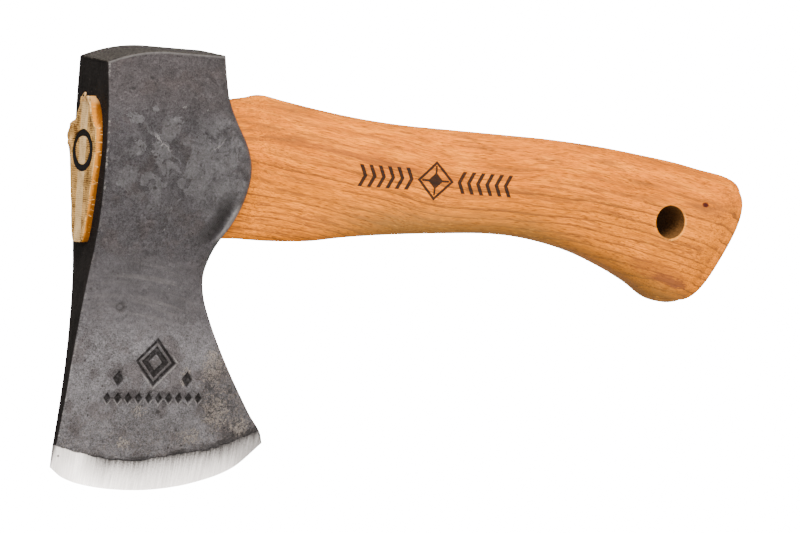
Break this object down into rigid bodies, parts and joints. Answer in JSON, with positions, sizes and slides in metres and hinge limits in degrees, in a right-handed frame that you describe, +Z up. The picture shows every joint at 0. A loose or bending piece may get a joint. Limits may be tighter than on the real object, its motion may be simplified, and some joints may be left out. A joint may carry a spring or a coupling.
{
  "type": "carving hatchet",
  "caption": "Small carving hatchet lying on its cheek: forged steel head with a flared blade and flat poll, on a curved hickory handle with a hanging hole.",
  "frame": {"origin": "centre of the bounding box's bottom face, on the surface that the hatchet lies on", "axes": "+X along the handle from the eye to the butt, +Y across the head from the cutting edge to the poll, +Z up through the thickness"},
  "size_m": [0.2424, 0.1382, 0.0248],
  "materials": {
    "forged_steel": "satin",
    "hickory": "satin",
    "wedge_wood": "matte",
    "wedge_steel": "satin"
  },
  "bodies": {
    "root": {"axe_head": "forged_steel", "handle": "hickory", "wood_wedge": "wedge_wood", "ring_wedge": "wedge_steel"}
  },
  "joints": []
}
